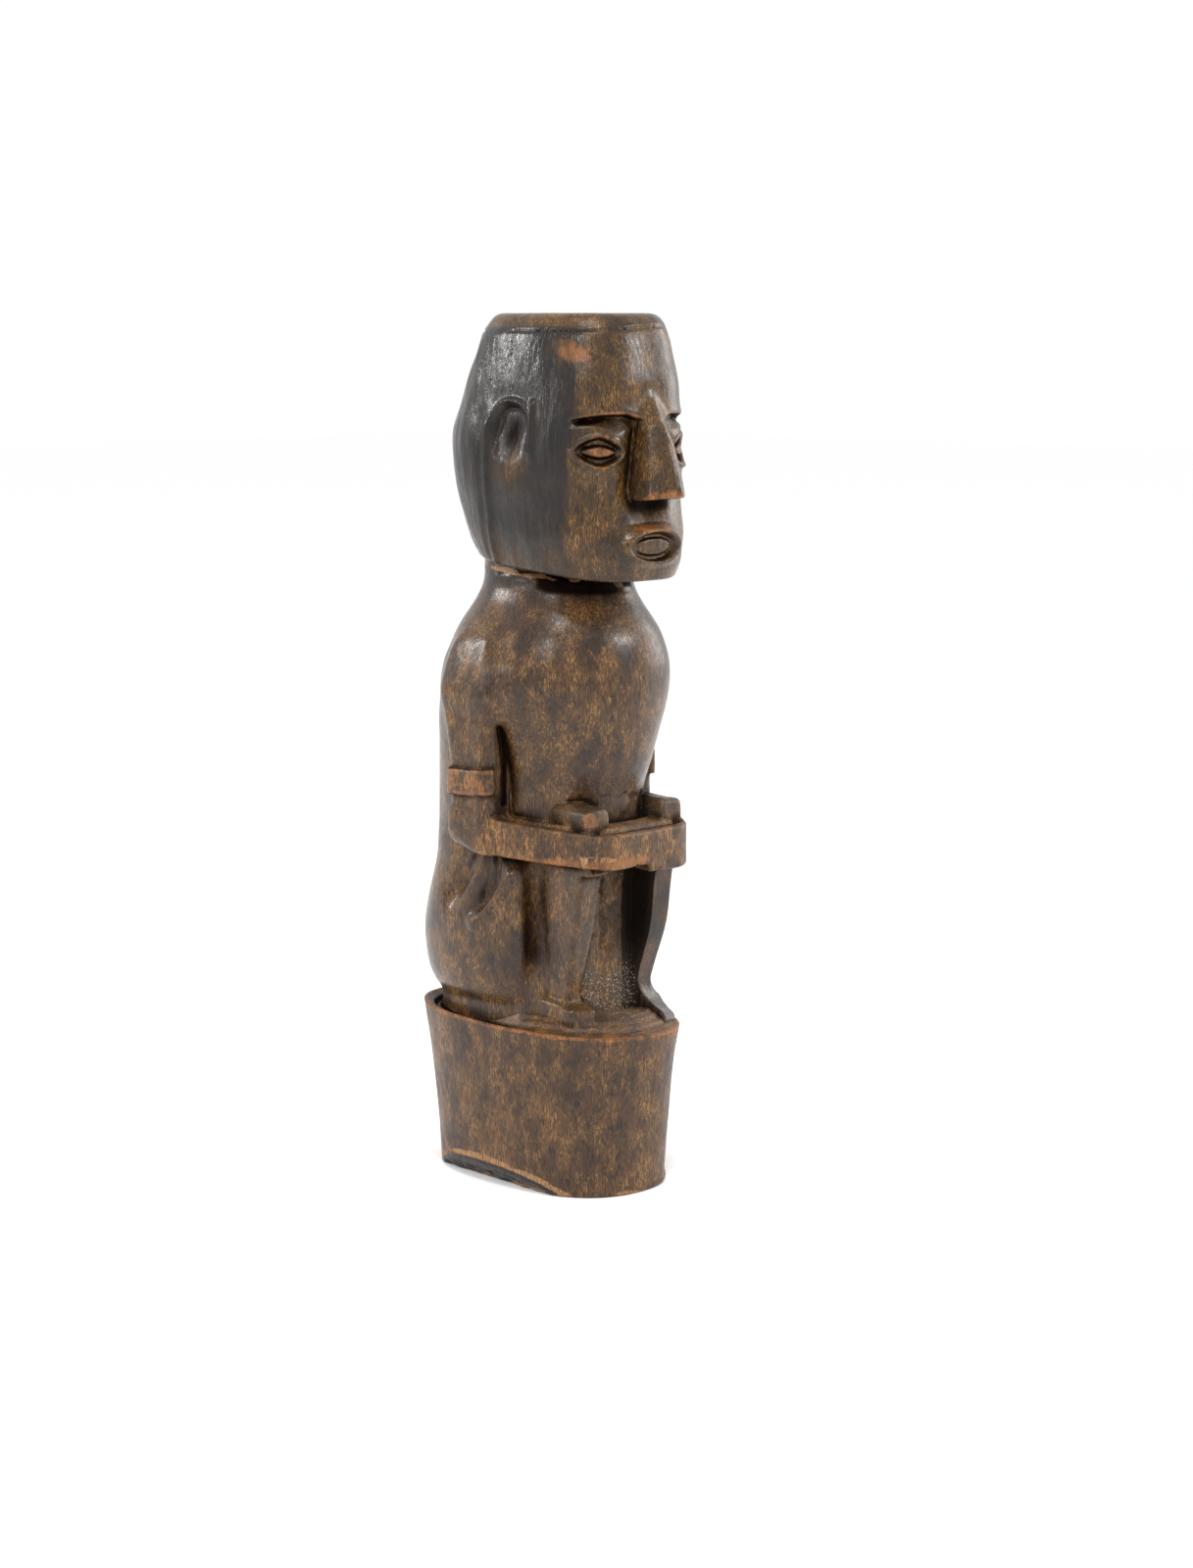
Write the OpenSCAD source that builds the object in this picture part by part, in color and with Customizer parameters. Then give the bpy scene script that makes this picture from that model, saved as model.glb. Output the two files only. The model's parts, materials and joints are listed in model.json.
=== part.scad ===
// Seated fertility doll carved from one block of wood: a figure hugging its drawn-up
// knees on an oval plinth. The figure faces -Y, its right side is at -X, and z = 0 is
// the flat underside of the plinth. Each carved member is one solid, and members meet
// face to face along the carver's cuts.

/* [Overall] */
// Height of the whole carving
figure_h = 160; // [155:1:170]
// Points around each carved section
ring_points = 40; // [24:4:48]

/* [Plinth] */
// Height of the plinth at its rim
plinth_h = 32.4; // [28:0.2:33]
// Width of the plinth at its underside
plinth_foot_w = 31; // [28:1:34]
// Depth of the plinth at its underside, front to back
plinth_foot_d = 46.6; // [44:0.2:50]
// Width of the plinth at its rim
plinth_rim_w = 37.4; // [36:0.2:42]
// Depth of the plinth at its rim, front to back
plinth_rim_d = 52.6; // [52:0.2:58]
// Height of the mound that the figure sits on, above the rim
mound_h = 1.2; // [0.6:0.2:3]

/* [Legs] */
// Width across both thighs
hip_w = 36; // [34:1:38]
// Depth of the seat, from the buttocks to the front of the thighs
hip_d = 43; // [41:1:44]
// Height of the forearms' underside
hand_z = 61.2; // [60:0.2:62]
// Gap between the two shins
shin_gap = 13.4; // [12:0.2:14]
// Width of one shin at the knee
shin_w = 5.6; // [5:0.2:6]
// Height of the knee tops
knee_z = 72; // [71:0.5:73]
// Width of one foot
foot_w = 6.5; // [5.5:0.5:7]

/* [Torso and arms] */
// Width of the waist between the arms
waist_w = 28; // [26:1:29]
// Depth of the waist
waist_d = 45; // [43:1:46]
// Width across the shoulders
shoulder_w = 42; // [41:1:44]
// Height of the widest part of the shoulders
shoulder_z = 94; // [92:1:96]
// Width of the neck
neck_w = 27; // [25:1:29]
// Thickness of an upper arm, side to side
arm_w = 7.6; // [7:0.2:8]
// Depth of an upper arm, front to back
arm_d = 12; // [11:0.5:13]
// Height of an armband
armband_h = 4.7; // [3.5:0.1:5.5]
// How far an armband stands out from the arm
armband_proud = 0.6; // [0.3:0.1:0.8]
// Height of the forearms' band around the knees
forearm_h = 6.6; // [6:0.2:7]

/* [Head] */
// Width of the head across the temples
head_w = 34; // [32:1:36]
// Depth of the head, face to back
head_d = 41.5; // [40:0.5:43]
// Height of the chin
chin_z = 112.5; // [112:0.5:114]
// Height of the sawn bevel around the flat top
crown_bevel = 2.6; // [1.5:0.1:3.5]
// Length of the nose
nose_l = 17; // [14:1:18]
// Width of an ear, front to back
ear_w = 9.4; // [8:0.2:10]
// Height of an ear
ear_h = 17.6; // [16:0.2:18]

/* [Hidden] */

RIGHT = -1;
LEFT = 1;
OVAL = 2.2;          // exponent of a nearly elliptical section
STUMP = 2.4;         // exponent of the plinth's fuller oval
SKULL = 2.6;         // exponent of the head's section
BLOCKY = 3.2;        // exponent of a section with squared corners
LENS = 1.7;          // exponent of an almond-shaped outline
relief = 1;          // extra width of the head at the eyes and lips
far = 100;           // size of a cutting block, larger than the carving
rim_tilt = 0.04;     // the plinth's top falls this much per mm towards the front
jaw_tilt = 0.11;     // the jaw line falls this much per mm towards the chin
neck_y = -2.2;       // the neck's centre
head_y = -5.8;       // the head's centre
face_y = head_y - head_d / 2;
arm_x = (shoulder_w - arm_w) / 2;
armband_z = 73.8;    // underside of the armbands
arm_top_z = 88;      // where the arm runs into the shoulder
front_y = -24.8;     // outer face of the clasped forearms
foot_h = 2.4;
seat_z = plinth_h + mound_h;
arm_inner_x = arm_x - arm_w / 2;
shin_back_y = -10.5;
knee_back_y = 11.4;
knee_front_y = front_y + 3.8;
knee_outer_x = shin_gap / 2 + shin_w + 0.4;
knee_bevel = 1.2;
wood = [0.27, 0.19, 0.13];
dark_wood = [0.2, 0.15, 0.12];
black_wood = [0.13, 0.12, 0.12];
worn_wood = [0.42, 0.27, 0.16];

// One point of a superellipse with half-widths a and b and exponent n
function oval_point(t, a, b, n) =
    [a * sign(cos(t)) * pow(abs(cos(t)), 2 / n),
     b * sign(sin(t)) * pow(abs(sin(t)), 2 / n)];

// A section is [z, centre x, centre y, width, depth, exponent, tilt along y]
function ring(s) = [for (i = [0 : ring_points - 1])
    let (p = oval_point(360 * i / ring_points, s[3] / 2, s[4] / 2, s[5]),
         y = p.y + s[2])
    [p.x + s[1], y, s[0] + s[6] * y]];

// A closed solid through a stack of sections, from the lowest to the highest
module loft(sections) {
    n = ring_points;
    last = len(sections) - 1;
    points = [for (s = sections) each ring(s)];
    sides = [for (k = [0 : last - 1], i = [0 : n - 1])
        let (j = (i + 1) % n, a = k * n + i, b = k * n + j)
        each [[a, a + n, b + n], [a, b + n, b]]];
    floor_face = [[for (i = [0 : n - 1]) i]];
    roof_face = [[for (i = [n - 1 : -1 : 0]) last * n + i]];
    polyhedron(concat(points), concat(sides, floor_face, roof_face));
}

module mirrored(side) {
    if (side == LEFT) mirror([1, 0, 0]) children();
    else children();
}

// The half of space on one side of the figure's middle
module half(side) {
    translate([side == LEFT ? 0 : -far, -far, -far]) cube([far, 2 * far, 3 * far]);
}

module plinth() {
    mid_w = (plinth_foot_w + plinth_rim_w) / 2 - 0.6;
    mid_d = (plinth_foot_d + plinth_rim_d) / 2 - 0.6;
    color(dark_wood) loft([
        [0, 0, 0, plinth_foot_w, plinth_foot_d, STUMP, 0],
        [plinth_h * 0.45, 0, 0, mid_w, mid_d, STUMP, rim_tilt * 0.45],
        [plinth_h * 0.9, 0, 0, plinth_rim_w - 0.6, plinth_rim_d - 0.6, STUMP, rim_tilt * 0.9],
        [plinth_h, 0, 0, plinth_rim_w, plinth_rim_d, STUMP, rim_tilt],
        [seat_z, 0, 0, plinth_rim_w - 3, plinth_rim_d - 3, STUMP, 0]
    ]);
}

module torso_form() {
    loft([
        [hand_z, 0, 1.6, waist_w + 2, waist_d + 0.2, OVAL, 0],
        [hand_z + 12.8, 0, 1.2, waist_w, waist_d - 1, OVAL, 0],
        [shoulder_z - 9, 0, 0, waist_w + 8, waist_d - 2, OVAL, 0],
        [shoulder_z, 0, -1.2, shoulder_w, waist_d - 2.4, OVAL, 0],
        [shoulder_z + 5, 0, -1.6, shoulder_w - 1.6, waist_d - 4.6, OVAL, 0],
        [shoulder_z + 8, 0, -1.9, shoulder_w - 4, waist_d - 6.6, OVAL, 0],
        [shoulder_z + 11, 0, -2.1, shoulder_w - 7, waist_d - 10, OVAL, 0],
        [shoulder_z + 13.5, 0, neck_y, neck_w + 4, neck_w + 4, OVAL, 0],
        [shoulder_z + 16, 0, neck_y, neck_w, neck_w, OVAL, jaw_tilt / 2],
        [chin_z + 3.2, 0, neck_y, neck_w, neck_w, OVAL, jaw_tilt]
    ]);
}

// The head, whose sections can be widened by grow for the reliefs on it
module head_form(grow = 0) {
    w = head_w + grow;
    d = head_d + grow;
    loft([
        [chin_z + 3.2, 0, head_y - 0.7, w - 7, d - 6.5, SKULL, jaw_tilt],
        [chin_z + 5, 0, head_y - 0.6, w - 4.5, d - 4, SKULL, jaw_tilt],
        [chin_z + 9, 0, head_y - 0.6, w - 2, d - 1.6, SKULL, 0],
        [chin_z + 17, 0, head_y, w, d + 0.4, SKULL, 0],
        [chin_z + 26, 0, head_y + 0.3, w, d, SKULL, 0],
        [chin_z + 34, 0, head_y, w - 2, d - 2.6, SKULL, 0],
        [figure_h - crown_bevel, 0, head_y - 0.6, w - 7, d - 9, SKULL, 0],
        [figure_h, 0, head_y - 0.3, w - 10, d - 12, SKULL, 0]
    ]);
}

// A straight wedge from the brow to the square nose base
module nose() {
    base_z = 126.5;
    rise = 5;
    half_base = 4.6;
    half_bridge = 1.8;
    polyhedron(
        [[-half_base, face_y + 3, base_z], [half_base, face_y + 3, base_z],
         [2.6, face_y - rise, base_z + 0.6], [-2.6, face_y - rise, base_z + 0.6],
         [-half_bridge, face_y + 3, base_z + nose_l], [half_bridge, face_y + 3, base_z + nose_l],
         [0.9, face_y + 0.2, base_z + nose_l], [-0.9, face_y + 0.2, base_z + nose_l]],
        [[0, 1, 2, 3], [4, 7, 6, 5], [0, 3, 7], [0, 7, 4], [1, 5, 6], [1, 6, 2],
         [3, 2, 6], [3, 6, 7], [0, 4, 5], [0, 5, 1]]);
}

// A lens-shaped column that cuts an eye or the mouth out of the face's relief
module lens(x, z, w, h) {
    translate([x, face_y + 9, z]) rotate([90, 0, 0])
        linear_extrude(12) polygon([for (i = [0 : 23])
            oval_point(15 * i, w / 2, h / 2, LENS)]);
}

// Eyes and lips stand a little proud of the curved face
module face_relief() {
    intersection() {
        head_form(relief);
        union() {
            lens(0, chin_z + 5.8, 12.6, 6);
            for (side = [-1, 1]) lens(side * 10.2, chin_z + 23, 8.4, 4.4);
        }
    }
}

module ear_prism(side) {
    outer_x = side * (head_w / 2 + 0.5);
    inner_x = side * (head_w / 2 - 3);
    translate([min(outer_x, inner_x), head_y, 135.6]) rotate([90, 0, 90])
        linear_extrude(3.5) polygon([for (i = [0 : 23])
            oval_point(15 * i, ear_w / 2, ear_h / 2, 2.4)]);
}

module ear_hollow(side) {
    translate([side * (head_w / 2 + 0.6), head_y, 137.5]) rotate([0, 90, 0])
        cylinder(h = 2, d = ear_w - 2.6, center = true);
}

// The space beside the waist, on one side, that the arm takes up
module arm_side(side) {
    mirrored(side) translate([-far - arm_inner_x, -far / 2, hand_z])
        cube([far, far, arm_top_z - hand_z]);
}

// One stretch of the arm's column: its sections are clipped flat against the waist
module arm_column(side, low_z, high_z, proud) {
    w = arm_w + 2 * proud;
    d = arm_d + 2 * proud;
    intersection() {
        mirrored(side) loft([
            [low_z, -arm_x, 0, w + 1, d, BLOCKY, 0],
            [high_z, -arm_x, 0, w + 1, d, BLOCKY, 0]
        ]);
        arm_side(side);
    }
}

// Elbow, forearm and hand, as far as the middle of the clasped hands
module forearm(side) {
    outline = [[0, front_y], [0, knee_front_y], [-knee_outer_x + knee_bevel, knee_front_y],
        [-knee_outer_x, knee_front_y + knee_bevel], [-arm_inner_x, -11], [-arm_inner_x, arm_d / 2],
        [-shoulder_w / 2 + 1, arm_d / 2], [-shoulder_w / 2, arm_d / 2 - 2],
        [-shoulder_w / 2 + 0.4, -5], [-13.4, front_y + 2.6], [-10.8, front_y + 0.5]];
    mirrored(side) translate([0, 0, hand_z]) linear_extrude(forearm_h) polygon(outline);
}

// The arm between the armband and the forearm
module elbow_column(side) {
    arm_column(side, hand_z + forearm_h, armband_z, 0);
}

// The notch in the belly that one knee fills
module knee_space(side) {
    mirrored(side) translate([-arm_inner_x - 1, -far, hand_z - 1])
        cube([arm_inner_x + 1 - shin_gap / 2, far - knee_back_y, knee_z - hand_z + 1]);
}

// A block with chamfered front edges
module knee(side) {
    inner = shin_gap / 2;
    outer = knee_outer_x;
    front = knee_front_y;
    mirrored(side) translate([0, 0, hand_z]) linear_extrude(knee_z - hand_z)
        polygon([[-inner, -knee_back_y], [-outer, -knee_back_y], [-outer, front + knee_bevel],
            [-outer + knee_bevel, front], [-inner - knee_bevel, front], [-inner, front + knee_bevel]]);
}

// A tapered block that leans forward from the ankle to the knee
module shin(side) {
    inner = shin_gap / 2;
    ankle = [-inner - 0.6, -inner - shin_w + 1.3];
    top = [-inner, -inner - shin_w];
    ankle_front = -15.2;
    top_front = -19.8;
    low_z = seat_z + foot_h;
    mirrored(side) polyhedron(
        [[ankle[0], shin_back_y, low_z], [ankle[1], shin_back_y, low_z],
         [ankle[1], ankle_front, low_z], [ankle[0], ankle_front, low_z],
         [top[0], shin_back_y, hand_z], [top[1], shin_back_y, hand_z],
         [top[1], top_front, hand_z], [top[0], top_front, hand_z]],
        [[0, 3, 2, 1], [4, 5, 6, 7], [0, 1, 5, 4], [1, 2, 6], [1, 6, 5],
         [2, 3, 7, 6], [3, 0, 4], [3, 4, 7]]);
}

// A small flat foot whose outer edge follows the plinth's rim
module foot(side) {
    inner = shin_gap / 2 + 0.6;
    mirrored(side) translate([0, 0, seat_z]) linear_extrude(foot_h)
        polygon([[-inner, shin_back_y], [-inner, -21], [-inner - 2, -21],
            [-inner - foot_w + 1.6, -17.5], [-inner - foot_w, -13], [-inner - foot_w, shin_back_y]]);
}

// Buttocks, thighs and the wood left standing between the legs
module thigh(side) {
    web_w = shin_gap - 2 * 2.6;
    web_front = -15.4;
    intersection() {
        difference() {
            loft([
                [seat_z, 0, 3.4, hip_w - 7, hip_d - 5, OVAL, 0],
                [seat_z + 3.5, 0, 4, hip_w - 1.6, hip_d - 2, OVAL, 0],
                [46, 0, 5, hip_w, hip_d, SKULL, 0],
                [56, 0, 3, hip_w - 1, hip_d - 1.4, SKULL, 0],
                [hand_z, 0, 1.8, hip_w - 2, hip_d + 1, SKULL, 0]
            ]);
            for (x = [-far - web_w / 2, web_w / 2])
                translate([x, shin_back_y - far, 0]) cube([far, far, far]);
            translate([-far / 2, web_front - far, 0]) cube([far, far, far]);
        }
        half(side);
    }
}

module right_ear() { color(black_wood) ear(RIGHT); }
module left_ear() { color(black_wood) ear(LEFT); }
module ear(side) {
    difference() {
        ear_prism(side);
        ear_hollow(side);
    }
}

module right_upper_arm() { color(wood) upper_arm(RIGHT); }
module left_upper_arm() { color(wood) upper_arm(LEFT); }
module upper_arm(side) { arm_column(side, armband_z + armband_h, arm_top_z, 0); }

module right_armband() { color(worn_wood) armband(RIGHT); }
module left_armband() { color(worn_wood) armband(LEFT); }
module armband(side) { arm_column(side, armband_z, armband_z + armband_h, armband_proud); }

module right_elbow() { color(wood) elbow_column(RIGHT); }
module left_elbow() { color(wood) elbow_column(LEFT); }
module right_forearm() { color(worn_wood) forearm(RIGHT); }
module left_forearm() { color(worn_wood) forearm(LEFT); }
module right_thigh() { color(wood) thigh(RIGHT); }
module left_thigh() { color(wood) thigh(LEFT); }
module right_knee() { color(wood) knee(RIGHT); }
module left_knee() { color(wood) knee(LEFT); }
module right_shin() { color(wood) shin(RIGHT); }
module left_shin() { color(wood) shin(LEFT); }
module right_foot() { color(dark_wood) foot(RIGHT); }
module left_foot() { color(dark_wood) foot(LEFT); }

module torso() {
    color(wood) difference() {
        torso_form();
        for (side = [RIGHT, LEFT]) {
            arm_side(side);
            knee_space(side);
        }
    }
}

module head() {
    color(black_wood) difference() {
        union() {
            head_form();
            nose();
            face_relief();
        }
        ear_prism(RIGHT);
        ear_prism(LEFT);
    }
}

plinth();
torso();
head();
right_ear();
left_ear();
right_upper_arm();
left_upper_arm();
right_armband();
left_armband();
right_forearm();
left_forearm();
right_elbow();
left_elbow();
right_thigh();
left_thigh();
right_knee();
left_knee();
right_shin();
left_shin();
right_foot();
left_foot();
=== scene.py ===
"""The carved wooden doll: its finished surface is sculpted as distance fields in millimetres, in the frame
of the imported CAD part, and each carved member is meshed as a closed piece of its own."""

import json
import math

import bpy
import numpy as np
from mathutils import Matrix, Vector


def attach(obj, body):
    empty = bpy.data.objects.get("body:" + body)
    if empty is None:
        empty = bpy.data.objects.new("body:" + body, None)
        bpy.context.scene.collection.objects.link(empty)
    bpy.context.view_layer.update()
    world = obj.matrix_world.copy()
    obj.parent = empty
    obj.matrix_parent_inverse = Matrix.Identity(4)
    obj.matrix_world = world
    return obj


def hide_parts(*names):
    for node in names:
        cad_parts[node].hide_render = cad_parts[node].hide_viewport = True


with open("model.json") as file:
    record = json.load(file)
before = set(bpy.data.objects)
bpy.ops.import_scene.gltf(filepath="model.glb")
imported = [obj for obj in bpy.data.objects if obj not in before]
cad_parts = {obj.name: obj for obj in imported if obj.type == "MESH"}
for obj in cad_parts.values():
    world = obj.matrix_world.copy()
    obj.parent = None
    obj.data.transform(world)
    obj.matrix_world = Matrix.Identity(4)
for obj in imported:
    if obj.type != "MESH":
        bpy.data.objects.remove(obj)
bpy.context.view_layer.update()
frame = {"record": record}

MM = 0.001
F = np.float32
rng = np.random.default_rng(11)
LATTICE = (rng.random((32, 32, 32)) * 2 - 1).astype(F)


# ---------------------------------------------------------------- numbers
def ramp(v, a, b):
    """0 before a, 1 after b, smooth between."""
    t = np.clip((v - a) / (b - a), 0, 1)
    return t * t * (3 - 2 * t)


def bell(v, width):
    return np.exp(-((v / width) ** 2))


def smin(a, b, k):
    h = np.maximum(k - np.abs(a - b), 0) / k
    return np.minimum(a, b) - h * h * k * 0.25


def smax(a, b, k):
    h = np.maximum(k - np.abs(a - b), 0) / k
    return np.maximum(a, b) + h * h * k * 0.25


def fillet(a, b, r):
    """The overlap of two shapes, with a round edge of radius r."""
    corner = np.sqrt(np.maximum(a + r, 0) ** 2 + np.maximum(b + r, 0) ** 2)
    return np.minimum(np.maximum(a, b), -r) + corner


def noise(x, y, z, sx, sy, sz, shift=0.0):
    """Smooth value noise between -1 and 1 with features of size sx, sy, sz."""
    index, part = [], []
    for c, s in ((x, sx), (y, sy), (z, sz)):
        c = c / s + 100.37 + shift
        i = np.floor(c)
        t = c - i
        index.append(i.astype(np.int32) & 31)
        part.append(t * t * (3 - 2 * t))
    (i, j, k), (u, v, w) = index, part
    i1, j1, k1 = (i + 1) & 31, (j + 1) & 31, (k + 1) & 31
    low = (LATTICE[i, j, k] * (1 - u) + LATTICE[i1, j, k] * u) * (1 - v) + (
        LATTICE[i, j1, k] * (1 - u) + LATTICE[i1, j1, k] * u) * v
    high = (LATTICE[i, j, k1] * (1 - u) + LATTICE[i1, j, k1] * u) * (1 - v) + (
        LATTICE[i, j1, k1] * (1 - u) + LATTICE[i1, j1, k1] * u) * v
    return low * (1 - w) + high * w


def curve(xs, ys, x):
    """A smooth curve through the points that never overshoots them."""
    h = np.diff(xs)
    s = np.diff(ys) / h
    m = np.zeros(len(ys))
    m[0], m[-1] = s[0], s[-1]
    turn = s[1:] * s[:-1] > 0
    w1, w2 = 2 * h[1:] + h[:-1], h[1:] + 2 * h[:-1]
    safe = np.where(turn, s[:-1], 1), np.where(turn, s[1:], 1)
    m[1:-1] = np.where(turn, (w1 + w2) / (w1 / safe[0] + w2 / safe[1]), 0)
    i = np.clip(np.searchsorted(xs, x) - 1, 0, len(h) - 1)
    t = (x - xs[i]) / h[i]
    return (ys[i] * (1 + 2 * t) * (1 - t) ** 2 + m[i] * h[i] * t * (1 - t) ** 2
            + ys[i + 1] * t * t * (3 - 2 * t) + m[i + 1] * h[i] * t * t * (t - 1))


# ---------------------------------------------------------------- shapes
def oval(dx, dy, a, b, n):
    """Distance to a superellipse with half-widths a and b."""
    u, v = np.abs(dx) / a + 1e-4, np.abs(dy) / b + 1e-4
    up, vp = u ** (n - 1), v ** (n - 1)
    q = (up * u + vp * v) ** (1 / n)
    slope = np.sqrt((up / a) ** 2 + (vp / b) ** 2) * q ** (1 - n)
    return (q - 1) / np.maximum(slope, 0.01)


class Loft:
    """A column through superellipse sections, given as rows of z, centre y, half-width, half-depth."""

    def __init__(self, rows, power, soften=0):
        rows = np.array(rows, float)
        self.power = power
        self.z = np.linspace(rows[0, 0], rows[-1, 0], 400)
        self.columns = [curve(rows[:, 0], rows[:, i], self.z) for i in (1, 2, 3)]
        if soften:
            reach = soften / (self.z[1] - self.z[0])
            weight = bell(np.arange(-int(2 * reach), int(2 * reach) + 1), reach)
            pad = len(weight) // 2
            self.columns = [np.convolve(np.pad(c, pad, "edge"), weight / weight.sum(), "valid")
                            for c in self.columns]

    def at(self, z):
        return [np.interp(z, self.z, c).astype(F) for c in self.columns]

    def __call__(self, x, y, z):
        cy, a, b = self.at(z)
        return oval(x, y - cy, a, b, self.power)


class Plan:
    """Distance to a closed outline in a plane, looked up in a table."""

    def __init__(self, points, step=0.15, margin=8, rounds=2):
        p = np.array(points, float)
        for _ in range(rounds):
            q = np.roll(p, -1, 0)
            p = np.stack([0.75 * p + 0.25 * q, 0.25 * p + 0.75 * q], 1).reshape(-1, 2)
        self.low, self.step = p.min(0) - margin, step
        size = np.ceil((p.max(0) + margin - self.low) / step).astype(int) + 1
        gx = self.low[0] + step * np.arange(size[0])[:, None]
        gy = self.low[1] + step * np.arange(size[1])[None, :]
        best = np.full(size, 1e9)
        inside = np.zeros(size, bool)
        for a, b in zip(p, np.roll(p, -1, 0)):
            e = b - a
            t = np.clip(((gx - a[0]) * e[0] + (gy - a[1]) * e[1]) / (e @ e), 0, 1)
            best = np.minimum(best, (gx - a[0] - t * e[0]) ** 2 + (gy - a[1] - t * e[1]) ** 2)
            if a[1] != b[1]:
                crossing = ((a[1] > gy) != (b[1] > gy)) & (gx < e[0] * (gy - a[1]) / e[1] + a[0])
                inside ^= crossing
        self.table = np.where(inside, -np.sqrt(best), np.sqrt(best)).astype(F)

    def __call__(self, u, v):
        u = np.clip((u - self.low[0]) / self.step, 0, self.table.shape[0] - 1.001)
        v = np.clip((v - self.low[1]) / self.step, 0, self.table.shape[1] - 1.001)
        i, j = u.astype(np.int32), v.astype(np.int32)
        s, t = u - i, v - j
        k = self.table
        return ((k[i, j] * (1 - s) + k[i + 1, j] * s) * (1 - t)
                + (k[i, j + 1] * (1 - s) + k[i + 1, j + 1] * s) * t)


def post(dx, dy, hx, hy, r):
    """Distance to an endless upright post with rounded corners."""
    qx, qy = np.abs(dx) - hx + r, np.abs(dy) - hy + r
    out = np.sqrt(np.maximum(qx, 0) ** 2 + np.maximum(qy, 0) ** 2)
    return out + np.minimum(np.maximum(qx, qy), 0) - r


def stroke(u, v, points):
    """Distance from a line through points in a plane."""
    best = None
    for (a, b), (c, d) in zip(points, points[1:]):
        e, g = c - a, d - b
        t = np.clip(((u - a) * e + (v - b) * g) / (e * e + g * g), 0, 1)
        dist = np.hypot(u - a - t * e, v - b - t * g)
        best = dist if best is None else np.minimum(best, dist)
    return best


# ---------------------------------------------------------------- the plinth
PLINTH = Loft([(-1, 0, 15.4, 23.2), (0, 0, 15.5, 23.3), (8, 0, 16.0, 23.8), (16, 0, 16.7, 24.5),
               (24, 0, 17.6, 25.3), (29.5, 0, 18.4, 26.1), (33, 0, 18.8, 26.5), (37, 0, 18.8, 26.5)], 2.4)


def rim_height(x, y):
    """The plinth's rim, which isn't quite level."""
    return 30.8 - 0.037 * x + 0.027 * y


def plinth_top(x, y, z, side):
    """Height of the plinth's top: a rim, a cut channel round the seat, and the mound under the feet."""
    inset = -side
    front = ramp(-y, 2, 11)
    channel = -1.5 * bell(inset - 2.6, 1.1) * (1 - 0.8 * front)
    mound = 2.6 * ramp(inset, 2.8, 6.0) * (1 - front) + 2.5 * ramp(inset, 0.2, 7.0) * front
    rings = 0.12 * np.sin(inset * 4.2 + noise(x, y, z, 6, 6, 6) * 1.5) * ramp(inset, 0.4, 1.2)
    return rim_height(x, y) + channel + mound + rings


def chip_side(x, y, z):
    """Above 0 where a slanting chip is split off the plinth's lower edge, on the figure's right."""
    return (-x + 0.06 * y - 12.4 - z) / 1.42


def plinth_field(x, y, z):
    """The plinth, which is a member by itself."""
    side = PLINTH(x, y, z)
    side = side + 0.14 * noise(x, y, z, 9, 9, 14) + 0.03 * noise(x, y, z, 1.1, 1.1, 9)
    f = smax(side, z - plinth_top(x, y, z, side), 0.3)
    chip = chip_side(x, y, z) + 0.35 * noise(x, y, z, 1.6, 1.6, 1.0)
    f = smax(f, chip, 0.25)
    front_lip = 0.35 * bell(z - 0.9, 0.9) * ramp(-y, 10, 17) * ramp(x, -8, 2)
    ragged_foot = 0.07 * (1 + noise(x, y, z, 3, 3, 3)) * ramp(np.abs(side), 2.5, 0.5)
    f = smax(f - front_lip, -z + ragged_foot, 0.3)
    return f, [f]


# ---------------------------------------------------------------- the figure
TORSO = Loft([(56, 3.6, 15.2, 19.5), (61, 3.2, 15.6, 20.3), (66, 2.8, 15.7, 20.6), (73, 2.6, 15.7, 20.7),
              (80, 1.3, 16.3, 21.8), (85, 0.4, 17.5, 22.0), (90, -0.7, 19.4, 21.2), (94, -1.2, 20.3, 20.6),
              (97, -1.5, 20.0, 20.2), (100, -1.9, 18.9, 19.3), (103, -2.1, 17.6, 18.2),
              (106, -2.1, 15.7, 16.4), (109, -2.1, 13.9, 14.5), (112, -2.2, 13.0, 13.3),
              (119, -2.2, 13.0, 13.2)], 2.2, 1.3)
SEAT = Loft([(31, 4.2, 13.0, 17.0), (33.5, 4.2, 14.2, 18.2), (35.3, 4.4, 15.7, 19.4),
             (36.6, 4.5, 16.4, 20.0), (38.2, 4.6, 16.9, 20.5), (41, 4.7, 17.3, 20.9), (46, 4.6, 17.6, 21.3),
             (52, 3.6, 17.5, 21.2), (57, 2.6, 17.0, 20.9), (61, 2.0, 16.5, 20.7), (65, 2.0, 15.0, 21)],
            2.3, 0.6)
ARM_OUT = [(21.0, 5.6), (21.2, 2), (20.8, -2), (19.3, -8), (16.7, -15), (13.7, -20.8), (11.7, -23.8),
           (9.4, -25.0), (4, -25.3), (-4, -25.3)]
ARM_IN = [(-4, -16), (4, -16), (9, -14.5), (12.4, -11), (13.8, -7), (14.2, -2), (14.2, 5.9), (20.0, 5.9)]
ARM_BAND = Plan(ARM_OUT + ARM_IN)
# the hip's two deep creases and the fold before them, as lines of y and z
CREASES = (((-1.2, 62), (-0.8, 57.5), (1.2, 53), (2.2, 50.5)), ((4, 62), (6.5, 58), (8.7, 54), (9.5, 50)))
FOLD = ((-5.9, 59), (-2.6, 54), (1.2, 50.6), (2.6, 49.6))
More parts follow.
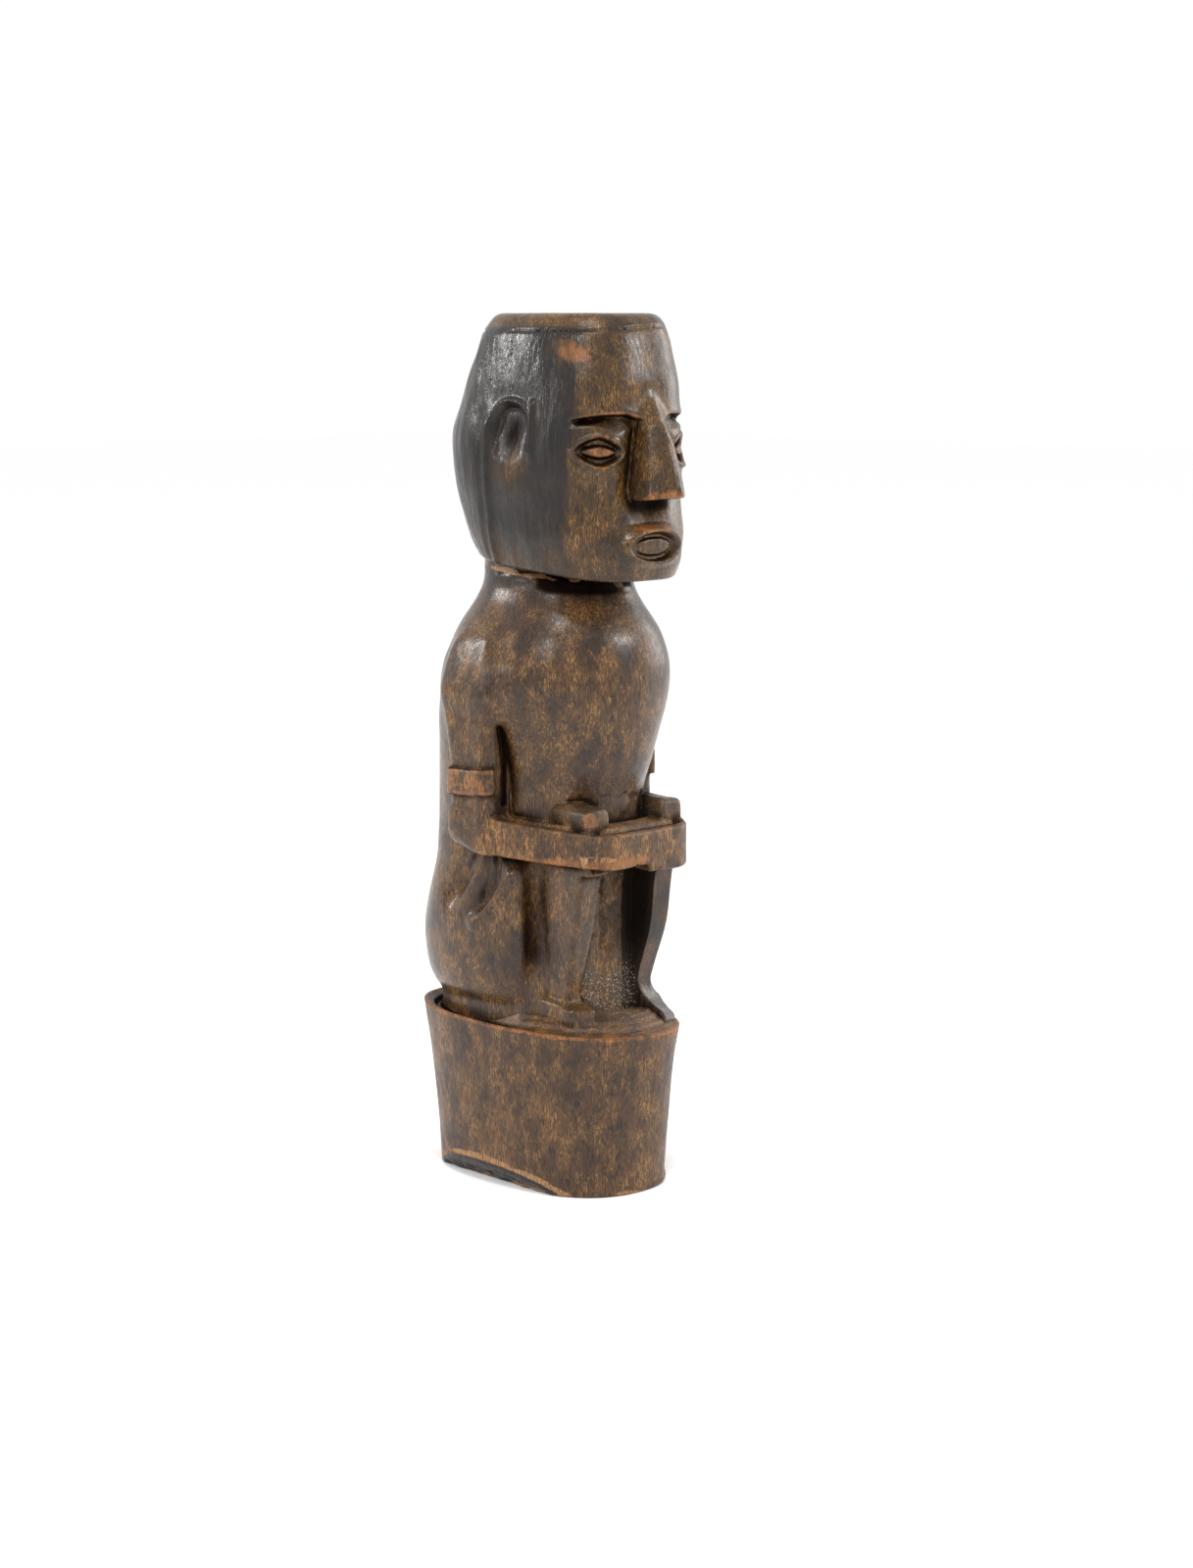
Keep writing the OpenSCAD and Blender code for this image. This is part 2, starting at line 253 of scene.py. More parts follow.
# how far forward a place on the foot is, and how high the foot's top is there
RIGHT_FOOT = (8, 14.6, 16.0, 18.0, 20.0, 21.5), (36.3, 35.7, 35.3, 34.9, 34.6, 34.0)
LEFT_FOOT = ((8, 15.0, 16.2, 17.5, 19.0, 20.8, 21.8, 23.3),
             (38, 35.4, 34.1, 33.1, 32.3, 31.5, 31.0, 30.0))
LAP = 62  # below it the seat owns the wood, above it the torso
SHARP = 0.01  # a blend so small that the cut stays sharp
PAIRED = ("upper_arm", "armband", "elbow", "forearm", "thigh", "knee", "shin", "foot")
FIGURE_NODES = ["torso"] + [side + "_" + part for part in PAIRED for side in ("right", "left")]


def jaw_height(y):
    """The underside of the jaw, which rises toward the nape."""
    return 112.5 + 0.112 * (y + 26)


def band_low(y):
    """The underside of the clasped arms."""
    return 61.5 + 0.08 * (y + 24.6)


def elbow_round(y):
    """Radius of the clasped arms' lower edge, which is large at the elbows."""
    return 0.6 + 2.6 * ramp(y, -3, 4)


def trunk(ax, x, y, z, wave):
    """The waist, chest, shoulders and neck, cut back above the lap and torn under the jaw."""
    torso = TORSO(x, y, z) + wave
    line = 73.6 + 0.35 * noise(x, y, z, 2.5, 2.5, 2.5)
    belly_cut = ramp(z, line + 0.2, line - 0.3) * ramp(-y, 9, 14) * ramp(14.0 - ax, 0, 3)
    torso = torso + (0.05 + 0.2 * noise(x, y, z, 1.2, 1.2, 1.0, 8.0)) * belly_cut
    under_jaw = jaw_height(y) - z
    torso = torso + (1.0 + 0.7 * ramp(-y, 4, 10)) * bell(under_jaw - 0.4, 0.9) * ramp(y, 4, -6)
    torn = bell(under_jaw - 1.7, 0.7) * ramp(-x, -1, 4) * ramp(-y, -8, -2)
    return torso - 0.35 * torn * noise(x, y, z, 0.9, 0.9, 0.5, 7.0)


def arm_column(ax, y, z, left):
    """The upright arm: it narrows to the band from behind, and the left one stands further forward."""
    front = -4.75 - left * 2.0 * ramp(z, 66, 70)
    rear = np.interp(z, [60, 73, 78, 86, 90, 96], [5.8, 5.7, 5.6, 7.0, 7.8, 8.4]).astype(F) - 1.0 * left
    return post(ax - 17.25, y - (front + rear) / 2, 3.85, (rear - front) / 2, 2.2)


def upright_arm(ax, y, z, left, wave):
    """The arm from the shoulder, which it sinks into, down to the underside of the elbow."""
    arm = arm_column(ax, y, z, left) + wave * 0.6
    arm = arm + 4.5 * ramp(z, 87, 100)
    arm = smax(arm, z - 100, 4)
    return fillet(arm, band_low(y) - z, elbow_round(y))


def armband(ax, x, y, z, left):
    """The band round the arm, which stands 0.85 proud of it and stops short of the chest."""
    cuff = arm_column(ax, y + 0.2 * left, z, left) - 0.85
    cuff = smax(cuff, np.abs(z - 76.15 + 0.04 * y) - 2.35 - 0.12 * noise(x, y, z, 2, 2, 2), 0.35)
    return smax(cuff, (19.0 - ax - 0.6 * (y + 4.7 + 2 * left)) / 1.17, 0.8)


def part_arm(upper, ax, y, z, left):
    """Cuts the arm free of the trunk, with a slot in front of it and a shallower one behind."""
    line_x = 16.6 + 0.16 * np.maximum(z - 80, 0)
    line_y = -4.3 - 1.9 * left
    eased = bell(np.hypot(ax - line_x + 1.0, y - line_y + 0.4), 1.3)
    upper = upper + 0.3 * eased * ramp(z, 92, 88) * ramp(z, 70, 76)
    notch = np.hypot(ax - line_x, y - line_y) - 0.55 * ramp(z, 94, 90) - 0.15 * ramp(z, 84, 76)
    notch = smax(smax(notch, 66 - z, 0.5), z - 92, 0.5)
    upper = smax(upper, -notch, 0.35)
    rear_y = np.interp(z, [66, 73, 78, 86, 94], [6.6, 6.6, 6.5, 8.0, 9.3]).astype(F)
    rear = np.hypot(ax - 16.7 - 0.14 * np.maximum(z - 78, 0), y - rear_y) - 1.0 * ramp(z, 94, 82)
    return smax(upper, -smax(rear, z - 94, 0.5), 0.6)


def forearm(ax, x, y, z, left):
    """The clasped forearms: a band round the knees with an incised line along its top."""
    plan = ARM_BAND(ax, y)
    inset = -plan
    front = ramp(-y, 4, 6)
    top = 67.6 + 0.105 * (y + 24.6)
    top = top + front * (0.5 * ramp(inset, 2.4, 3.4) - 0.9 * bell(inset - 2.1, 0.42))
    low = band_low(y) - 1.5 * left * ramp(-y, 12, 22) - 0.3 * bell(ax - 8, 4) * front
    nick = 0.45 * bell(x + 3, 0.45) * ramp(-y, 22, 24)
    return fillet(smax(plan, z - top, 0.55), low + nick * 0.7 - z, elbow_round(y))


def seat_and_web(ax, x, y, z, wave):
    """Buttocks and thighs creased at the hips, cut away behind the shins, and the web between the legs."""
    seat = smax(SEAT(x, y, z) + wave, z - 66, 1)
    crease_a, crease_b = (stroke(y, z, line) for line in CREASES)
    fold = stroke(y, z, FOLD)
    fade = ramp(z, 49.5, 55)
    seat = seat + ramp(ax, 9, 13) * (3.0 * bell(crease_a, 1.5) * fade + 2.1 * bell(crease_b, 1.9) * fade
                                     - 1.1 * bell(fold, 1.3))
    thigh = smax(seat, -11.6 - y + 0.04 * (z - 50), 5.5 + 5 * ramp(z, 46, 36))
    core = smax(smax(SEAT(x, y, z) + 2.6, -12.0 - y, 1), y + 5, 1)
    thigh = smin(thigh, core, 0.8)
    gap = post(ax - 13.2 + 0.055 * (60 - z), y + 10.8 - 0.05 * (60 - z), 1.0, 2.2, 0.9)
    thigh = smax(thigh, -smax(gap, z - 62, 0.5), 3.6)
    slot = smax(post(ax - 4.95, y + 14.5, 1.75, 7.0, 0.6), z - 62.5, 0.5)
    thigh = smax(thigh, -slot, 0.4)
    thigh = smax(smax(thigh, z - 65.5, 1), 31 - z, 0.3)
    rough = 0.22 * noise(x, y, z, 0.9, 0.9, 1.3) + 0.14 * noise(x, y, z, 0.5, 0.5, 0.6, 3.1)
    web = post(ax, y + 8.5, 3.05, 7.3 - 0.06 * (60 - z), 1.0)
    web = smax(smax(web, z - 67, 1), 31 - z, 0.5) + rough * ramp(-y, 9, 13)
    return smin(thigh, web, 0.6)


def shin_post(ax, y, z, left, wave):
    """The shin, which leans forward and grows wider up to the knee."""
    t = np.clip((z - 36) / 24, 0, 1.25)
    middle = 9.15 + 0.3 * t - 0.4 * left
    half_w = 1.95 + 0.85 * t + 0.4 * left
    front = -14.6 - 5.2 * t - 0.5 * bell(t - 0.55, 0.3) - left * (0.5 + 0.7 * bell(t - 0.5, 0.3))
    back = -7.5
    shin = post(ax - middle, y - (front + back) / 2, half_w, (back - front) / 2, 0.75)
    return smax(smax(shin, z - 62.5, 1), 33 - z, 0.5) + wave * 0.5 - 0.25 * bell(z - 35.5, 1.2)


def knee_block(ax, x, y, z, left, wave):
    """The knee's top, a small faceted block that stands above the forearms."""
    top = 72.5 - left * 0.1 * np.maximum(ax - 8, 0) - (1 - left) * 0.35 * np.maximum(ax - 10.5, 0)
    knee = post(ax - 9.6, y + 17.0, 2.7, 5.0, 0.9)
    knee = fillet(knee, z - top + 0.05 * (-y - 15), 0.9)
    inner_facet = -0.5 * (ax - 6.9) - 0.5 * (y + 22.0) + 0.7 * (z - 70.9)
    outer_facet = 0.4 * (ax - 12.3) - 0.6 * (y + 22.0) + 0.7 * (z - 71.4)
    knee = smax(smax(knee, inner_facet, 0.4), outer_facet * (1 - left) - 3 * left, 0.5)
    return smax(knee, 60 - z, 0.5) + wave * 0.4 + 0.14 * noise(x, y, z, 1.8, 1.8, 1.8, 6.0)


def foot_wedge(ax, y, z, left, wave):
    """The foot, a wedge that falls to the toes; the left one is longer and slopes outward."""
    top = (np.interp(-y, *RIGHT_FOOT) * (1 - left) + np.interp(-y, *LEFT_FOOT) * left).astype(F)
    half_length = 6.6 + 1.8 * left - 0.45 * np.maximum(ax - 8, 0)
    foot = post(ax - 9.9 - 0.9 * left, y + 12.6 + 0.8 * left, 2.5 + 0.6 * left, half_length, 1.0)
    foot = smax(foot, z - top + (0.08 + 0.35 * left) * (ax - 10), 0.7)
    return smax(foot, 29.0 - z, 0.4) + wave * 0.4


def figure_field(x, y, z):
    """Everything between the plinth and the jaw, and the figure's members in the order of FIGURE_NODES."""
    ax = np.abs(x)
    left = ramp(x, -0.5, 0.5)
    wave = 0.16 * noise(x, y, z, 8, 8, 12) + 0.05 * noise(x, y, z, 3, 3, 6, 5.3)

    torso = trunk(ax, x, y, z, wave)
    arm = upright_arm(ax, y, z, left, wave)
    cuff = armband(ax, x, y, z, left)
    band = forearm(ax, x, y, z, left) + wave * 0.5
    thigh = seat_and_web(ax, x, y, z, wave)
    shin = shin_post(ax, y, z, left, wave)
    knee = knee_block(ax, x, y, z, left, wave)
    foot = foot_wedge(ax, y, z, left, wave)

    body = part_arm(smin(torso, arm, 0.4 + 7 * ramp(z, 84, 93)), ax, y, z, left)
    clasp = smin(smax(arm, z - 72, 1), band, 1.2)
    for part, blend in ((cuff, 0.15), (thigh, 1.0), (knee, 0.12), (smin(shin, foot, 1.4 + 1.8 * left), 0.25),
                        (clasp, 0.2)):
        body = smin(body, part, blend)

    inside_arm = 13.4 - ax
    upper_arm = smax(smax(arm, 78.5 - z, SHARP), inside_arm, SHARP)
    elbow = smax(smax(smax(arm, z - 73.8, SHARP), 67.8 - z, SHARP), inside_arm, SHARP)
    fore = smin(band, smax(smax(arm, z - 68, SHARP), inside_arm, SHARP), 0.5)
    far = F(50)
    right = x < 0
    members = [np.where(z > LAP, torso, far)]
    for part in (upper_arm, cuff, elbow, fore, np.where(z < LAP, thigh, far), knee, smax(shin, 36 - z, SHARP),
                 foot):
        members += [np.where(right, part, far), np.where(right, far, part)]
    return body, members


# ---------------------------------------------------------------- the head
HEAD = Loft([(109, -7.6, 13.9, 17.0), (112.7, -7.7, 14.2, 17.4), (115.4, -8.0, 15.0, 18.3),
             (118.1, -7.2, 15.7, 19.2), (120.8, -6.75, 16.3, 19.9), (123.5, -6.0, 16.5, 20.2),
             (126.2, -5.3, 16.7, 20.4), (128.8, -4.8, 17.0, 20.7), (134.2, -4.5, 17.3, 21.1),
             (136.8, -4.3, 17.3, 21.1), (139.5, -4.4, 17.1, 20.9), (142.2, -5.1, 16.7, 20.5),
             (144.9, -5.5, 16.2, 19.9), (147.6, -5.85, 15.9, 19.5), (150.2, -6.0, 15.4, 18.9),
             (152.9, -6.2, 14.8, 18.1), (155.6, -6.4, 14.2, 17.4), (157.6, -6.4, 13.6, 16.7),
             (163, -6.4, 12.0, 15.1)], 2.6, 1.2)
EAR = (-6.6, 136.8)  # y and z of its middle
EYE = 10.9  # how far the eye's middle is from the face's, along the face


def face_place(x, y, z):
    """Distance along the face from its middle, and how far this place faces forward."""
    cy = HEAD.at(z)[0]
    u = 21 * np.arctan2(np.abs(x), -(y - cy))
    return u, ramp(-(y - cy), 2, 7)


def brow_height(u):
    """The brow's lower edge, which dips at the nose and at the temple."""
    return 142.4 - 0.25 * np.maximum(6 - u, 0) - 0.045 * np.maximum(u - 9, 0) ** 1.5


def face_relief(u, z):
    """How proud the face stands of the skull, apart from the nose."""
    # the socket under the brow and beside the nose
    nose_half = np.interp(z, [127, 132, 137, 141, 143], [4.6, 4.0, 3.2, 2.3, 1.6]).astype(F)
    under_brow = brow_height(u) - z
    beside_nose = u - nose_half
    slope = 1.3 + 1.9 * ramp(u, 15, 6)
    socket_b = 1.9 * ramp(under_brow, -0.1, 0.5) * ramp(under_brow, slope * 1.5, 0.3) * ramp(u, 17.5, 14)
    socket_b = socket_b * ramp(beside_nose, -0.3, 0.5)
    socket_n = 1.5 * ramp(beside_nose, -0.4, 0.6) * bell(np.maximum(beside_nose - 0.3, 0), 2.9)
    socket_n = socket_n * ramp(z, 125.8, 129.5) * ramp(under_brow, -0.1, 0.8)
    socket = smax(socket_b, socket_n, 0.6)
    # the eye: an almond hollow with a lens in it and a thin raised lid
    eu, ev = u - EYE, z - 135.9 - 0.03 * (u - EYE)
    lid = (np.abs(eu) / 4.7) ** 1.45 + (np.abs(ev + 0.1) / 2.75) ** 1.45
    rim = 0.35 * bell(lid - 1.1, 0.18)
    hollow = 1.2 * ramp(lid, 1.02, 0.62)
    ball = (np.abs(eu) / 3.9) ** 1.5 + (np.abs(ev + 0.15) / 1.2) ** 1.5
    lens = 1.15 * ramp(ball, 1.25, 0.3)
    lower_lid = 0.45 * bell(ev + 3.1, 0.6) * bell(eu, 3.6)
    eye = rim + lower_lid - hollow + lens
    # the mouth: a raised oval ring of lips round a hollow with a lens in it
    mv = z - 118.9
    ring = (u / 8.1) ** 2 + (mv / 3.4) ** 2
    lips = 1.0 * bell(np.sqrt(ring) - 0.90, 0.18) - 0.9 * ramp(ring, 0.66, 0.42)
    inner = (u / 6.1) ** 2 + (mv / 1.75) ** 2
    lips = lips + 0.7 * ramp(inner, 1.05, 0.45)
    philtrum = 1.3 * bell(u, 4.9) * ramp(z, 121.9, 123.3) * ramp(z, 128.8, 127)
    scoop = 0.6 * bell(np.hypot((u - 8.6), (z - 124.6) * 0.7), 3.4)
    chin = 0.4 * bell(z - 115.3, 0.9) * bell(u, 6)
    brow_bump = 0.12 * bell(under_brow + 0.5, 0.7) * ramp(u, 15, 11)
    return eye - socket - philtrum - scoop + lips - chin + brow_bump


def nose_wedge(ax, y, z, wave):
    """The nose: a ridge that widens downward, with a round front and a flat underside."""
    levels = [126, 128.5, 132, 137, 140, 142, 144, 147]
    bridge = np.interp(z, levels, [-32.3, -32.4, -31.7, -30.0, -28.4, -27.0, -25.4, -22]).astype(F)
    depth = np.interp(z, levels, [3.1, 3.1, 2.8, 2.2, 1.7, 1.4, 1.2, 1]).astype(F)
    half = np.interp(z, levels, [4.5, 4.3, 3.8, 3.1, 2.5, 2.1, 1.6, 1]).astype(F)
    gable = (bridge + depth * (ax / half) ** 1.7 - y) / 1.25
    nose = smax(ax - half, gable, 0.25)
    nose = fillet(nose, 127.4 + 0.12 * (-y - 29) - z, 0.35)
    nose = smax(nose, z - 146, 1)
    return smax(nose, y + 18, 1) + wave * 0.7


def ear_relief(y, z):
    """How deep the ear is cut: a hollow that opens downward, with a raised rim and the ridge behind it."""
    ey = y - EAR[0]
    rise = z - 139.6
    hollow_r = (np.abs(ey) / 4.4) ** 2.2 + (np.abs(rise) / np.where(rise > 0, 4.6, 7.5)) ** 2.2
    ear = 1.25 * ramp(hollow_r, 1.08, 0.5) * ramp(z, 132.0, 140.5)
    front_rim = bell(ey + 4.9, 0.6) * ramp(z, 133, 136) * ramp(z, 145.5, 144)
    helix = bell(hollow_r ** 0.5 - 1.13, 0.09) * ramp(z, 138, 142) * ramp(ey, -5, -3)
    ear = ear - 0.6 * front_rim - 0.65 * helix
    ridge = 0.8 * bell(y + 1.2, 0.65) * ramp(z, 143, 140) - 0.4 * bell(y - 0.8, 0.9) * ramp(z, 144, 141)
    return ear - ridge


def head_field(x, y, z):
    """The head, and its members: the head itself and the two ears."""
    ax = np.abs(x)
    wave = 0.14 * noise(x, y, z, 8, 8, 12, 1.7) + 0.04 * noise(x, y, z, 3, 3, 6, 2.3)
    u, facing = face_place(x, y, z)
    skull = HEAD(x, y, z) + wave - facing * face_relief(u, z)
    head = smin(skull, nose_wedge(ax, y, z, wave), 0.3 + 3.2 * ramp(z, 138.5, 142.5))
    head = head + ramp(ax, 11, 14) * ear_relief(y, z)
    hair_lines = 0.05 * noise(x, y, z, 0.55, 0.55, 12) + 0.16 * noise(x, y, z, 2.4, 2.4, 5, 6.0)
    head = head + ramp(y, -18, -14) * hair_lines

    # the jaw's underside, and the flat crown with a bevel and a crack round it
    jaw = jaw_height(y) + 0.10 * noise(x, y, z, 4, 4, 4)
    head = smax(head, jaw - z, 0.7)
    bevel_z = 157.2 + 0.9 * ramp(x - y, 8, 34)
    slant = oval(x, y + 6.3, 13.5, 16.5, 2.6) + 0.8 * (z - bevel_z) + 0.15 * noise(x, y, z, 3, 3, 3)
    head = smax(head, slant / 1.28, 0.3)
    crack = 0.35 * bell(z - bevel_z + 0.35, 0.22) * ramp(noise(x, y, z, 5, 5, 9, 4.0), -0.5, 0.2)
    head = smax(head + crack, z - 160 + 0.05 * noise(x, y, z, 4, 4, 4), 1.1)

    ear_r = np.sqrt(((y - EAR[0]) / 5.4) ** 2 + ((z - EAR[1]) / 8.4) ** 2)
    own = smax(ear_r * 5.2 - 5.2, 13.6 - ax, SHARP)
    right = x < 0
    return head, [np.zeros_like(head), np.where(right, own, 9), np.where(right, 9, own)]


# ---------------------------------------------------------------- meshing
def sample(field, x, y, z, chunk=400000):
    """The field and the number of the member that owns each point."""
    f = np.empty(x.shape, F)
    who = np.empty(x.shape, np.int8)
    for s in range(0, len(x), chunk):
        e = slice(s, s + chunk)
        f[e], members = field(x[e], y[e], z[e])
        who[e] = np.argmin(np.stack(members), 0) + 1
    return f, who


BLOCK = 6  # grid points along the side of a block
FAR = 5  # mm, stands for the distance of every point in the other blocks


def grid_field(field, low, high, step):
    """The field and its owners on a grid, in full only in blocks near the surface or a seam."""
    size = (np.ceil((high - low) / step / BLOCK).astype(int) + 1) * BLOCK
    coarse = size // BLOCK
    c = [low[i] + (np.arange(coarse[i]) + 0.5) * BLOCK * step - step / 2 for i in range(3)]
    cx, cy, cz = (g.ravel().astype(F) for g in np.meshgrid(*c, indexing="ij"))
    fc, wc = sample(field, cx, cy, cz)
    hard = (np.abs(fc) < BLOCK * step * 1.45).reshape(coarse)
    f = np.kron(np.sign(fc).reshape(coarse), np.ones((BLOCK,) * 3, F)).astype(F) * FAR
    who = np.kron(wc.reshape(coarse), np.ones((BLOCK,) * 3, np.int8)).astype(np.int8)
    inside = (fc < 0).reshape(coarse)
    seam = np.zeros_like(inside)
    w = wc.reshape(coarse)
    for axis in range(3):
        d = np.diff(w, axis=axis) != 0
        pad_low = [(0, 0)] * 3
        pad_low[axis] = (0, 1)
        pad_high = [(0, 0)] * 3
        pad_high[axis] = (1, 0)
        seam |= np.pad(d, pad_low) | np.pad(d, pad_high)
    hard |= seam & inside
    fine = np.kron(hard, np.ones((BLOCK,) * 3, bool)).astype(bool)
    i, j, k = np.nonzero(fine)
    x, y, z = (low[n] + v * step for n, v in enumerate((i, j, k)))
    ff, ww = sample(field, x.astype(F), y.astype(F), z.astype(F))
    f[i, j, k] = ff
    who[i, j, k] = ww
    f[[0, -1]] = FAR
    f[:, [0, -1]] = FAR
    f[:, :, [0, -1]] = FAR
    return f, np.where(f < 0, who, 0).astype(np.int8)


def gradient(field, p, eps=0.06):
    """The field at the points, and its slope along x, y and z."""
    base = sample(field, *p.T)[0]
    ahead = [sample(field, *(p + nudge * F(eps)).T)[0] for nudge in np.eye(3, dtype=F)]
    return base, np.stack([value - base for value in ahead], 1) / eps


def surface(field, low, high, step):
    """The members' meshes, which share the points of their seams.

    Returns the points, their normals, the faces, the two members that each face parts (0 is the air), and
    which points are on the outside.
    """
    f, label = grid_field(field, low, high, step)
    cells = np.array(f.shape) - 1
    total, weight = np.zeros((*cells, 3), F), np.zeros(cells, F)
    inner, inner_w = np.zeros_like(total), np.zeros_like(weight)
    quads, owners = [], []

    def cell_id(i, j, k):
        return (i * cells[1] + j) * cells[2] + k

    # a face between each two neighbours with different owners; it joins the points of its four cells
    for axis in range(3):
        a = [slice(None)] * 3
        b = [slice(None)] * 3
        a[axis], b[axis] = slice(None, -1), slice(1, None)
        la, lb = label[tuple(a)], label[tuple(b)]
        fa, fb = f[tuple(a)], f[tuple(b)]
        at = np.array(np.nonzero(la != lb))
        va, vb = fa[tuple(at)], fb[tuple(at)]
        one, two = la[tuple(at)], lb[tuple(at)]
        outer = (one == 0) | (two == 0)
        t = np.where(outer, va / np.where(va == vb, 1, va - vb), 0.5)
        point = at.T.astype(F)
        point[:, axis] += np.clip(t, 0, 1)
        m, n = (axis + 1) % 3, (axis + 2) % 3
        ids = []
        for dm, dn in ((-1, -1), (0, -1), (0, 0), (-1, 0)):
            c = at.copy()
            c[m] += dm
            c[n] += dn
            ids.append(cell_id(*c))
            for target, target_w, pick in ((total, weight, outer), (inner, inner_w, ~outer)):
                flat = ids[-1][pick]
                for d in range(3):
                    target.reshape(-1, 3)[:, d] += np.bincount(flat, point[pick, d], weight.size).astype(F)
                target_w.reshape(-1)[:] += np.bincount(flat, minlength=weight.size).astype(F)
        quads.append(np.stack(ids, 1))
        owners.append(np.stack([one, two], 1))
    quads, owners = np.concatenate(quads), np.concatenate(owners)
    # a cell's point is the mean of its outer crossings or, deep inside a seam, of its inner ones
    used, inverse = np.unique(quads, return_inverse=True)
    quads = inverse.reshape(quads.shape)
    w, wi = weight.reshape(-1)[used], inner_w.reshape(-1)[used]
    p = np.where(w[:, None] > 0, total.reshape(-1, 3)[used] / np.maximum(w, 1)[:, None],
                 inner.reshape(-1, 3)[used] / np.maximum(wi, 1)[:, None])
    p = (np.asarray(low, F) + p * F(step)).astype(F)
    skin = w > 0
    # two short steps bring the outer points onto the true surface
    for _ in range(2):
        base, g = gradient(field, p[skin])
        move = -base[:, None] * g / np.maximum((g * g).sum(1), 0.05)[:, None]
        length = np.linalg.norm(move, axis=1)
        move *= np.minimum(1, 0.6 * step / np.maximum(length, 1e-6))[:, None]
        p[skin] += move
    # smooth normals, from the outer faces alone
    outside = (owners == 0).any(1)
    normal = np.zeros_like(p)
    q = quads[outside]
    flip = owners[outside][:, 0] == 0
    d1, d2 = p[q[:, 2]] - p[q[:, 0]], p[q[:, 3]] - p[q[:, 1]]
    face_n = np.cross(d1, d2)
    face_n[flip] *= -1
    for c in range(4):
        for d in range(3):
            normal[:, d] += np.bincount(q[:, c], face_n[:, d], len(p)).astype(F)
    normal /= np.maximum(np.linalg.norm(normal, axis=1), 1e-9)[:, None]
    return p, normal, quads, owners, skin


def marks(field, p, normal, skin):
    """Per point, how far an edge stands proud and how deep a hollow is, felt out along the normal."""
    worn, hollow = np.zeros(len(p), F), np.zeros(len(p), F)
    at, n = p[skin], normal[skin]
    for d, amount in ((0.5, 1.0), (1.0, 0.6)):
        worn[skin] += amount * (sample(field, *(at - n * F(d)).T)[0] + d) / d
    # the hollow places found here are darkened by the wood as painted shade
    for d, amount in ((0.6, 1.0), (1.8, 1.1), (4.0, 1.0)):
        hollow[skin] += amount * np.clip((d - sample(field, *(at + n * F(d)).T)[0]) / d, 0, 2)
    worn = worn * (1 - ramp(hollow, 0.15, 0.7))
    return np.clip(worn, 0, 2), np.clip(hollow, 0, 3)


def piece(name, p, normal, quads, owners, number, channels, material, node):
    """One member's own closed mesh."""
    mine = owners == number
    use = mine.any(1)
    q = quads[use].copy()
    back = mine[use][:, 1]
    q[back] = q[back][:, ::-1]
    ids, q = np.unique(q, return_inverse=True)
    q = q.reshape(-1, 4)
    mesh = bpy.data.meshes.new(name)
    mesh.vertices.add(len(ids))
    mesh.vertices.foreach_set("co", (p[ids] * MM).astype(F).ravel())
    mesh.loops.add(q.size)
    mesh.loops.foreach_set("vertex_index", q.ravel().astype(np.int32))
    mesh.polygons.add(len(q))
    mesh.polygons.foreach_set("loop_start", np.arange(0, q.size, 4, dtype=np.int32))
    mesh.polygons.foreach_set("use_smooth", np.ones(len(q), bool))
    mesh.update(calc_edges=True)
    for key, values in channels.items():
        layer = mesh.attributes.new(key, "FLOAT", "POINT")
        layer.data.foreach_set("value", values[ids].astype(F))
    mesh.normals_split_custom_set_from_vertices(normal[ids].tolist())
    mesh.materials.append(material)
    obj = bpy.data.objects.new(name, mesh)
    bpy.context.collection.objects.link(obj)
    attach(obj, "root")
    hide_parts(node)


# ---------------------------------------------------------------- the wood
class Wood:
    """Builds one procedural wood material, node by node."""

    def __init__(self, name):
        self.material = bpy.data.materials.new(name)
        self.material.use_nodes = True
        self.nodes = self.material.node_tree.nodes
        self.links = self.material.node_tree.links
        self.nodes.clear()

    def add(self, kind, **settings):
        node = self.nodes.new(kind)
        for key, value in settings.items():
            setattr(node, key, value)
        return node

    def put(self, socket, value):
        if isinstance(value, bpy.types.NodeSocket):
            self.links.new(value, socket)
        elif isinstance(value, tuple) and len(value) == 3 and socket.type == "RGBA":
            socket.default_value = (*value, 1)
        else:
            socket.default_value = value

    def mark(self, name):
        return self.add("ShaderNodeAttribute", attribute_name=name).outputs["Fac"]

    def math(self, op, a, b=0.0, clamp=False):
        node = self.add("ShaderNodeMath", operation=op, use_clamp=clamp)
        self.put(node.inputs[0], a)
        self.put(node.inputs[1], b)
        return node.outputs[0]

    def step(self, value, low, high, to_low=0.0, to_high=1.0):
        node = self.add("ShaderNodeMapRange", interpolation_type="SMOOTHSTEP")
        for i, v in enumerate((value, low, high, to_low, to_high)):
            self.put(node.inputs[i], v)
        return node.outputs[0]

    def mix(self, fac, a, b, blend="MIX"):
        node = self.add("ShaderNodeMix", data_type="RGBA", blend_type=blend)
        self.put(node.inputs[0], fac)
        self.put(node.inputs[6], a)
        self.put(node.inputs[7], b)
        return node.outputs[2]

    def coords(self, sx, sy, sz, shift=0.0):
        place = self.add("ShaderNodeTexCoord").outputs["Object"]
        node = self.add("ShaderNodeMapping")
        self.links.new(place, node.inputs["Vector"])
        node.inputs["Scale"].default_value = (1000 / sx, 1000 / sy, 1000 / sz)
        node.inputs["Location"].default_value = (shift, shift * 1.7, shift * 0.6)
        return node.outputs[0]

    def grain(self, sx, sy, sz, detail=2.0, rough=0.5, shift=0.0):
        node = self.add("ShaderNodeTexNoise")
        self.links.new(self.coords(sx, sy, sz, shift), node.inputs["Vector"])
        node.inputs["Scale"].default_value = 1.0
        node.inputs["Detail"].default_value = detail
        node.inputs["Roughness"].default_value = rough
        return node.outputs[0]


